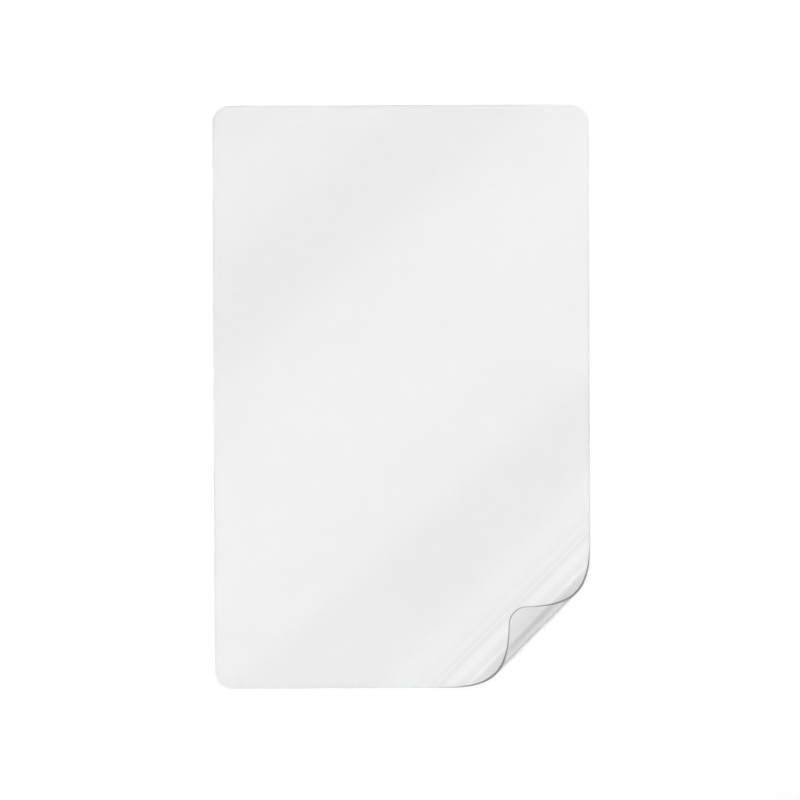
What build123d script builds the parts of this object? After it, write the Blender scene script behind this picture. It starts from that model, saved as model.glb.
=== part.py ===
from build123d import *
from math import cos, radians, sin
import os

# The film as it is cut, before its corner lifts
film_width = 77.4
film_length = 120.0
film_thickness = 0.45
corner_radius = 3.5

# The lower right corner, peeled up and rolled back over the face of the film
roll_axis_angle = 45.0  # from the short side, counter-clockwise
roll_inner_radius = 7.0
roll_turn = 157.0  # degrees of film that lie on the roll
tip_straight = 1.0  # straight film past the roll, before the corner rounds off

# The roll lies along one direction, and the film runs onto it at right angles to that
up = Vector(0, 0, 1)
along_roll = Vector(1, 0, 0).rotate(Axis.Z, roll_axis_angle)
to_corner = along_roll.cross(up)

# Distances along to_corner are counted on the flat film. The corner's sides would meet at
# sharp_corner, and the rounding takes corner_radius off each of them.
sharp_corner = Vector(film_width / 2, -film_length / 2).dot(to_corner)
roll_tilt = radians(roll_axis_angle)
rounding_depth = corner_radius * max(sin(roll_tilt), cos(roll_tilt))
roll_end = sharp_corner - rounding_depth - tip_straight

# The middle of the film's thickness keeps its length on the roll
roll_mid_radius = roll_inner_radius + film_thickness / 2
roll_length = roll_mid_radius * radians(roll_turn)
roll_start = roll_end - roll_length
roll_centre = to_corner * roll_start + up * (film_thickness + roll_inner_radius)
roll_axis = Axis(roll_centre, -along_roll)


def across_film(distance):
    return Plane(to_corner * distance, x_dir=along_roll, z_dir=to_corner)


def carried_round(piece):
    slid_back = Pos(to_corner * -roll_length) * piece
    return slid_back.rotate(roll_axis, roll_turn)


# One flat sheet gives the part that stays down and the tip that ends the roll
sheet = extrude(RectangleRounded(film_width, film_length, corner_radius), film_thickness)
lying_film = split(sheet, across_film(roll_start), keep=Keep.BOTTOM)
flat_tip = split(sheet, across_film(roll_end), keep=Keep.TOP)

# Between the two cuts the film narrows evenly as it goes round the roll
film_travel = Axis((0, 0, 0), to_corner)
first_section = lying_film.faces().sort_by(film_travel)[-1]
last_section = carried_round(flat_tip.faces().sort_by(film_travel)[0])
roll_plane = Plane(roll_centre, x_dir=to_corner, z_dir=-along_roll)
roll_path = roll_plane * CenterArc((0, 0), roll_mid_radius, -90, roll_turn)
rolled_film = sweep([first_section, last_section], path=roll_path, multisection=True)

screen_film = lying_film + rolled_film + carried_round(flat_tip)

os.makedirs("parts", exist_ok=True)
export_step(screen_film, "parts/screen_film.step")
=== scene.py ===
import bmesh
import bpy
from math import cos, hypot, pi, radians, sin
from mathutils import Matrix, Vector


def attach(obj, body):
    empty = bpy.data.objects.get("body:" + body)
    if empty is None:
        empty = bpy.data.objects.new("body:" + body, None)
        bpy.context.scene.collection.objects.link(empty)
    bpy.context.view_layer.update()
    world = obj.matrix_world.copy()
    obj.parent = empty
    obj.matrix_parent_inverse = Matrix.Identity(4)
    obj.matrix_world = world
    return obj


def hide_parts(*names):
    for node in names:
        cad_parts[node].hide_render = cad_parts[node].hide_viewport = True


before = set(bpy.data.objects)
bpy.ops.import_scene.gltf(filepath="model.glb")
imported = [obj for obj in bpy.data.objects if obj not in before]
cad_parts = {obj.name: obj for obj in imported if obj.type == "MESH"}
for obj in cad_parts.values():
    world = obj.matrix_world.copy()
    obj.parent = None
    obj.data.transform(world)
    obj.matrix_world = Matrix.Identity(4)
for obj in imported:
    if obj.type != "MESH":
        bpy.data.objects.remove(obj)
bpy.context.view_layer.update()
mm = 0.001


def linearColour(hexCode):
    channels = [int(hexCode[i:i + 2], 16) / 255 for i in (1, 3, 5)]
    linear = [c / 12.92 if c <= 0.04045 else ((c + 0.055) / 1.055) ** 2.4 for c in channels]
    return (*linear, 1.0)


# adds one node: its settings, and for each input a plain value or the output that feeds it
def addNode(tree, kind, place, inputs, **settings):
    node = tree.nodes.new(kind)
    node.location = place
    for name, value in settings.items():
        setattr(node, name, value)
    for name, value in inputs.items():
        if isinstance(value, bpy.types.NodeSocket):
            tree.links.new(value, node.inputs[name])
        else:
            node.inputs[name].default_value = value
    return node


# the film's sheet, in millimetres, as it is cut and as its corner rolls back
film = {
    "width": 77.4,
    "length": 120.0,
    "thickness": 0.45,
    "cornerRadius": 3.5,
    "rollAngle": 45.0,  # of the roll's axis, from the short side
    "rollInnerRadius": 7.0,
    "rollTurn": 157.0,
    "tipStraight": 1.0,  # past the roll, before the corner rounds off
    "edgeRound": 0.04,  # a knife leaves the cut edge a little soft
    "edgeBorder": 0.10,  # flat strip beside the rounding, keeps the shading of the face even
    "edgeSteps": 3,
    "cornerSteps": 24,
    "flatStep": 2.0,
    "rollStep": 0.2,
    "onCut": 1e-5,  # a point this near to a mesh line counts as on it
}

along = Vector((cos(radians(film["rollAngle"])), sin(radians(film["rollAngle"]))))
toCorner = Vector((along.y, -along.x))
rollMid = film["rollInnerRadius"] + film["thickness"] / 2
rollLength = rollMid * radians(film["rollTurn"])
roundingDepth = film["cornerRadius"] * max(along)
sharpCorner = Vector((film["width"], -film["length"])).dot(toCorner) / 2
rollEnd = sharpCorner - roundingDepth - film["tipStraight"]
rollStart = rollEnd - rollLength
rollCentreHeight = film["thickness"] + film["rollInnerRadius"]


# where a point of the flat sheet lies, at a height in its thickness, once the corner is rolled
def onFilm(point, height):
    past = point.dot(toCorner) - rollStart
    if past <= 0:
        return Vector((point.x, point.y, height)) * mm
    turn = min(past, rollLength) / rollMid
    straight = max(past - rollLength, 0)
    radius = rollCentreHeight - height
    run = rollStart + radius * sin(turn) + straight * cos(turn)
    lift = rollCentreHeight - radius * cos(turn) + straight * sin(turn)
    place = along * point.dot(along) + toCorner * run
    return Vector((place.x, place.y, lift)) * mm


# points of the cut line moved in by an inset, counter-clockwise, with the arcs' own centres
def cutLine(inset):
    radius = film["cornerRadius"] - inset
    halfX = film["width"] / 2 - film["cornerRadius"]
    halfY = film["length"] / 2 - film["cornerRadius"]
    points = []
    for quarter, (sideX, sideY) in enumerate(((1, 1), (-1, 1), (-1, -1), (1, -1))):
        for step in range(film["cornerSteps"] + 1):
            turn = (quarter + step / film["cornerSteps"]) * pi / 2
            points.append(Vector((sideX * halfX + radius * cos(turn), sideY * halfY + radius * sin(turn))))
    return points


# the direction that leads straight out over the cut line, square to it
def outOver(point):
    halfX = film["width"] / 2 - film["cornerRadius"]
    halfY = film["length"] / 2 - film["cornerRadius"]
    nearest = Vector((max(-halfX, min(halfX, point.x)), max(-halfY, min(halfY, point.y))))
    return (point - nearest).normalized()


# the flat face, cut by lines along the roll and across it, so that it bends in true strips
def flatGrid(inset):
    grid = bmesh.new()
    grid.faces.new([grid.verts.new((p.x, p.y, 0)) for p in cutLine(inset)])
    reach = hypot(film["width"], film["length"]) / 2
    flatCuts = int((rollStart + reach) / film["flatStep"])
    rollCuts = int(rollLength / film["rollStep"])
    cuts = [(toCorner, rollStart - film["flatStep"] * i) for i in range(1, flatCuts)]
    cuts += [(toCorner, rollStart + rollLength * i / rollCuts) for i in range(rollCuts + 1)]
    acrossCuts = int(reach / film["flatStep"])
    cuts += [(along, film["flatStep"] * i) for i in range(-acrossCuts, acrossCuts + 1)]
    for direction, distance in cuts:
        place = direction * distance
        everything = grid.verts[:] + grid.edges[:] + grid.faces[:]
        bmesh.ops.bisect_plane(
            grid, geom=everything, dist=film["onCut"], plane_co=(*place, 0), plane_no=(*direction, 0)
        )
    return grid


# the round of the cut edge, from the upper face to the lower: how far in, and how high
def edgeProfile():
    soft = film["edgeRound"]
    steps = film["edgeSteps"]
    upper = []
    for step in range(steps + 1):
        turn = step / steps * pi / 2
        upper.append((soft * (1 - sin(turn)), film["thickness"] - soft * (1 - cos(turn))))
    lower = [(inset, film["thickness"] - height) for inset, height in reversed(upper)]
    return upper + lower


def buildFilm():
    border = film["edgeRound"] + film["edgeBorder"]
    grid = flatGrid(border)
    grid.verts.index_update()
    points = [Vector(v.co.xy) for v in grid.verts]
    rims = [e for e in grid.edges if e.is_boundary]
    body = bmesh.new()
    upper = [body.verts.new(onFilm(p, film["thickness"])) for p in points]
    lower = [body.verts.new(onFilm(p, 0)) for p in points]
    for face in grid.faces:
        corners = [v.index for v in face.verts]
        body.faces.new([upper[i] for i in corners])
        body.faces.new([lower[i] for i in reversed(corners)])
    rings = {}
    for i in {v.index for e in rims for v in e.verts}:
        out = outOver(points[i])
        sides = [onFilm(points[i] + out * (border - inset), height) for inset, height in edgeProfile()]
        rings[i] = [upper[i], *[body.verts.new(place) for place in sides], lower[i]]
    for edge in rims:
        loop = edge.link_loops[0]
        first = rings[loop.vert.index]
        second = rings[loop.link_loop_next.vert.index]
        strips = len(first) - 1
        for k in range(strips):
            face = body.faces.new((first[k], first[k + 1], second[k + 1], second[k]))
            face.material_index = 0 if k in (0, strips - 1) else 1  # all but the flat borders is cut edge
    grid.free()
    for face in body.faces:
        face.smooth = True
    mesh = bpy.data.meshes.new("screenFilm")
    body.to_mesh(mesh)
    body.free()
    piece = bpy.data.objects.new("screenFilm", mesh)
    bpy.context.scene.collection.objects.link(piece)
    return piece


tpu = {
    "ior": 1.50,
    "absorbed": 132.0,  # per metre, how fast light fades inside the film
    "castTint": "#FFFFFF",
    "castRoughness": (0.02, 0.03),
    "castGrain": 0.9,  # mm, the even ripple that casting leaves
    "cutTint": "#FFFFFF",
    "cutPaintedShade": "#9C9C9C",  # painted shade, the grey that the lifted edge is given
    "cutPaintedShadeLift": (0.45, 2.2),  # mm above the table, from no painted shade to the full painted shade
    "cutClear": 0.05,  # little light goes through the torn face, the rest it throws back
    "cutRoughness": (0.30, 0.40),
    "cutGrain": 0.12,  # mm, between the marks that the blade leaves
    "grainSpan": (0.3, 0.7),  # most of the noise lies between these
    "grainDetail": 2.0,
}


def clearTpu(name, tint, clear, roughness, grainSize):
    material = bpy.data.materials.new(name)
    material.use_nodes = True
    tree = material.node_tree
    tree.nodes.clear()
    where = addNode(tree, "ShaderNodeTexCoord", (-900, 0), {})
    grain = addNode(tree, "ShaderNodeTexNoise", (-700, 0), {
        "Vector": where.outputs["Object"], "Scale": 1 / (grainSize * mm), "Detail": tpu["grainDetail"]})
    lowGrain, highGrain = tpu["grainSpan"]
    smooth, rough = roughness
    gloss = addNode(tree, "ShaderNodeMapRange", (-500, 0), {
        "Value": grain.outputs["Fac"], "From Min": lowGrain, "From Max": highGrain,
        "To Min": smooth, "To Max": rough})
    surface = addNode(tree, "ShaderNodeBsdfPrincipled", (-200, 0), {
        "Base Color": linearColour(tint), "IOR": tpu["ior"], "Transmission Weight": clear,
        "Roughness": gloss.outputs["Result"]})
    inside = addNode(tree, "ShaderNodeVolumeAbsorption", (-200, -500), {
        "Color": (0.0, 0.0, 0.0, 1.0), "Density": tpu["absorbed"]})
    addNode(tree, "ShaderNodeOutputMaterial", (200, 0), {
        "Surface": surface.outputs["BSDF"], "Volume": inside.outputs["Volume"]})
    return material


# clear TPU film, cast smooth: a soft gloss on both faces and a faint grey that gathers at its edges
castFilm = clearTpu("clearCastTpuFilm", tpu["castTint"], 1.0, tpu["castRoughness"], tpu["castGrain"])
# the same film where the knife went through: finely torn, so the edge spreads the light that meets it
cutEdge = clearTpu("knifeCutTpuEdge", tpu["cutTint"], tpu["cutClear"], tpu["cutRoughness"], tpu["cutGrain"])


# painted shade on the cut edge: it turns from white at the table to grey above it, so the lifted edge looks
# dark
def paintShadeOnPeeledEdge(material):
    tree = material.node_tree
    surface = tree.nodes["Principled BSDF"]
    where = addNode(tree, "ShaderNodeTexCoord", (-900, 400), {})
    height = addNode(tree, "ShaderNodeSeparateXYZ", (-700, 400), {"Vector": where.outputs["Object"]})
    shadeStartHeight, shadeFullHeight = tpu["cutPaintedShadeLift"]
    share = addNode(tree, "ShaderNodeMapRange", (-500, 400), {
        "Value": height.outputs["Z"], "From Min": shadeStartHeight * mm, "From Max": shadeFullHeight * mm})
    unshadedTint = linearColour(tpu["cutTint"])
    paintedShadeTint = linearColour(tpu["cutPaintedShade"])
    # painted shade: the edge's white is mixed towards grey with height
    paintedShadeMix = addNode(tree, "ShaderNodeMix", (-350, 400), {
        "Factor": share.outputs["Result"], 6: unshadedTint, 7: paintedShadeTint}, data_type="RGBA")
    tree.links.new(paintedShadeMix.outputs[2], surface.inputs["Base Color"])


paintShadeOnPeeledEdge(cutEdge)

screenFilm = buildFilm()
screenFilm.data.materials.append(castFilm)
screenFilm.data.materials.append(cutEdge)
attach(screenFilm, "root")
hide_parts("screen_film")
print("film:", len(screenFilm.data.polygons), "faces")


# a wide white table, a hair under the film: its satin face gives more of the light from overhead straight
# back up than to the sides, so the film's fold mirrors it darker than the camera sees it
table = {
    "size": 8.0,  # metres
    "below": 0.02,  # mm
    "colour": "#F8F8F8",
    "satinShare": 0.2,
    "satinRoughness": 0.4,
}


def whiteTable():
    half = table["size"] / 2
    low = -table["below"] * mm
    mesh = bpy.data.meshes.new("table")
    corners = [(-half, -half, low), (half, -half, low), (half, half, low), (-half, half, low)]
    mesh.from_pydata(corners, [], [(0, 1, 2, 3)])
    material = bpy.data.materials.new("satinWhiteBoard")
    material.use_nodes = True
    tree = material.node_tree
    tree.nodes.clear()
    white = linearColour(table["colour"])
    matt = addNode(tree, "ShaderNodeBsdfDiffuse", (0, 0), {"Color": white})
    satin = addNode(tree, "ShaderNodeBsdfGlossy", (0, -200), {
        "Color": white, "Roughness": table["satinRoughness"]})
    surface = addNode(tree, "ShaderNodeMixShader", (200, 0), {
        0: table["satinShare"], 1: matt.outputs["BSDF"], 2: satin.outputs["BSDF"]})
    addNode(tree, "ShaderNodeOutputMaterial", (400, 0), {"Surface": surface.outputs["Shader"]})
    mesh.materials.append(material)
    top = bpy.data.objects.new("table", mesh)
    bpy.context.scene.collection.objects.link(top)


whiteTable()
print("table: laid")


# the panel overhead, which the flat film mirrors, and its radiance from one side to the other: places are
# where it shows on the film, in millimetres from the film's middle, so that two dark flags give the film
# its broad bands
panel = {
    "angle": 41.0,  # the way that the flags run, from +X
    "height": 1.0,  # metres
    "length": 0.6,
    "tones": (
        (-76, 0.36),
        (-62, 0.40),
        (-56, 0.54),
        (-51, 0.38),
        (-47, 0.36),
        (-43, 0.03),
        (-31, 0.03),
        (-24, 0.54),
        (-12, 0.71),
        (6, 0.71),
        (9, 0.61),
        (20, 0.53),
        (24, 0.03),
        (38, 0.03),
    ),
}
# a narrow strip just under the panel's end, along the roll
strip = {
    "angle": 45.0,
    "height": 0.99,
    "length": 0.6,
    "tones": (
        (36.5, 0.0),
        (40.5, 0.60),
        (43.8, 0.62),
        (44.8, 0.0),
    ),
}
# the tent all round: its tone at each angle from straight up, below 0 towards the lower right of the picture
# and above 0 towards the upper left, so that the roll mirrors lighter and darker bands
tent = {
    "keySide": 135.0,  # azimuth of the upper left, from +X
    "strength": 2.0,  # the tone that the ramp's full white stands for
    "endsDarker": 0.5,  # the tent's two other ends give this much less
    "tones": (
        (-90, 1.25),
        (-78, 1.20),
        (-66, 1.12),
        (-56, 0.88),
        (-46, 0.58),
        (-36, 0.28),
        (-15, 0.08),
        (10, 0.08),
        (20, 0.36),
        (29, 0.90),
        (48, 0.92),
        (60, 0.54),
        (74, 0.48),
        (84, 1.00),
        (90, 1.75),
    ),
}
# the two softboxes, over the ends of the roll: azimuth from +X, angle from straight up, metres away, size
# across and along that angle, and radiance
softboxes = {
    "overUpperRight": {"azimuth": 45, "fromUp": 14.2, "away": 2.4, "size": (0.52, 0.76), "radiance": 10.1},
    "overLowerLeft": {"azimuth": 225, "fromUp": 14.2, "away": 2.4, "size": (0.52, 0.76), "radiance": 10.1},
}
camera = {
    "lens": 600.0,
    "sensor": 36.0,
    "field": 164.8,  # mm of the table across the picture
    "aside": (-0.33, -0.68),  # mm from the film's middle to the picture's middle
    "turn": -0.24,  # degrees, about its own line of sight
    "clipEnd": 20.0,  # metres
}
cameraHeight = camera["field"] * mm * camera["lens"] / camera["sensor"]


def areaLight(name, place, target, size, radiance):
    data = bpy.data.lights.new(name, "AREA")
    data.shape = "RECTANGLE"
    data.size, data.size_y = size
    data.energy = radiance * pi * size[0] * size[1]  # watts that give this radiance
    lamp = bpy.data.objects.new(name, data)
    lamp.location = place
    lamp.rotation_euler = (Vector(target) - Vector(place)).to_track_quat("-Z", "Y").to_euler()
    bpy.context.scene.collection.objects.link(lamp)
    return lamp


def setStops(ramp, stops):
    elements = ramp.color_ramp.elements
    while len(elements) < len(stops):
        elements.new(0.5)
    for element, (position, tone) in zip(elements, stops):
        element.position = position
        element.color = (tone, tone, tone, 1)


# a lamp overhead, level, whose light the flags across it tone
def flaggedLamp(name, flags):
    spread = (1 + flags["height"] / cameraHeight) * mm  # the lamp is this much wider than its mirror image
    (start, _), *_, (end, _) = flags["tones"]
    turn = radians(flags["angle"])
    aside = Vector((sin(turn), -cos(turn), 0)) * (start + end) / 2 * spread
    place = aside + Vector((0, 0, flags["height"]))
    lamp = areaLight(name, place, (0, 0, 0), (flags["length"], (end - start) * spread), 1.0)
    lamp.rotation_euler = (0, 0, turn)
    lamp.data.use_nodes = True
    tree = lamp.data.node_tree
    tree.nodes.clear()
    where = addNode(tree, "ShaderNodeNewGeometry", (-800, 0), {})
    split = addNode(tree, "ShaderNodeSeparateXYZ", (-600, 0), {"Vector": where.outputs["Parametric"]})
    ramp = addNode(tree, "ShaderNodeValToRGB", (-400, 0), {"Fac": split.outputs["Y"]})
    setStops(ramp, [(1 - (at - start) / (end - start), tone) for at, tone in reversed(flags["tones"])])
    glow = addNode(tree, "ShaderNodeEmission", (0, 0), {"Color": ramp.outputs["Color"]})
    addNode(tree, "ShaderNodeOutputLight", (200, 0), {"Surface": glow.outputs["Emission"]})


def lightStudio():
    for name, box in softboxes.items():
        azimuth, fromUp = radians(box["azimuth"]), radians(box["fromUp"])
        direction = Vector((cos(azimuth) * sin(fromUp), sin(azimuth) * sin(fromUp), cos(fromUp)))
        areaLight(name, direction * box["away"], (0, 0, 0), box["size"], box["radiance"])
    flaggedLamp("overheadPanel", panel)
    flaggedLamp("overheadStrip", strip)
    studio = bpy.data.worlds.new("studio")
    studio.use_nodes = True
    tree = studio.node_tree
    tree.nodes.clear()
    side = radians(tent["keySide"])
    where = addNode(tree, "ShaderNodeTexCoord", (-1200, 0), {}).outputs["Generated"]
    key = addNode(tree, "ShaderNodeVectorMath", (-1000, 200), {0: where, 1: (cos(side), sin(side), 0)},
                  operation="DOT_PRODUCT")
    up = addNode(tree, "ShaderNodeSeparateXYZ", (-1000, 0), {"Vector": where})
    end = addNode(tree, "ShaderNodeVectorMath", (-1000, -200), {0: where, 1: (sin(side), -cos(side), 0)},
                  operation="DOT_PRODUCT")
    angle = addNode(tree, "ShaderNodeMath", (-800, 100), {0: key.outputs["Value"], 1: up.outputs["Z"]},
                    operation="ARCTAN2")
    share = addNode(tree, "ShaderNodeMapRange", (-600, 100), {
        "Value": angle.outputs["Value"], "From Min": -pi / 2, "From Max": pi / 2})
    ramp = addNode(tree, "ShaderNodeValToRGB", (-400, 100), {"Fac": share.outputs["Result"]})
    setStops(ramp, [(degrees / 180 + 0.5, tone / tent["strength"]) for degrees, tone in tent["tones"]])
    reach = end.outputs["Value"]
    endSquare = addNode(tree, "ShaderNodeMath", (-800, -200), {0: reach, 1: reach}, operation="MULTIPLY")
    fall = addNode(tree, "ShaderNodeMapRange", (-600, -200), {
        "Value": endSquare.outputs["Value"], "To Min": tent["strength"],
        "To Max": tent["strength"] * (1 - tent["endsDarker"])})
    sky = addNode(tree, "ShaderNodeBackground", (0, 0), {
        "Color": ramp.outputs["Color"], "Strength": fall.outputs["Result"]})
    addNode(tree, "ShaderNodeOutputWorld", (200, 0), {"Surface": sky.outputs["Background"]})
    bpy.context.scene.world = studio


def placeCamera():
    data = bpy.data.cameras.new("overhead")
    data.lens = camera["lens"]
    data.sensor_width = camera["sensor"]
    data.clip_end = camera["clipEnd"]
    eye = bpy.data.objects.new("overhead", data)
    eye.location = (camera["aside"][0] * mm, camera["aside"][1] * mm, cameraHeight)
    eye.rotation_euler = (0, 0, radians(camera["turn"]))
    bpy.context.scene.collection.objects.link(eye)
    bpy.context.scene.camera = eye


lightStudio()
placeCamera()
scene = bpy.context.scene
scene.view_settings.view_transform = "Standard"
bounces = 24  # enough for light to find its way out of the roll
scene.cycles.max_bounces = bounces
scene.cycles.transmission_bounces = bounces
scene.cycles.blur_glossy = 0.0  # blurring would lose the light that passes through clear film
scene.cycles.sample_clamp_indirect = 0.0  # and so would clamping
print("studio: lit, camera", scene.camera.name)
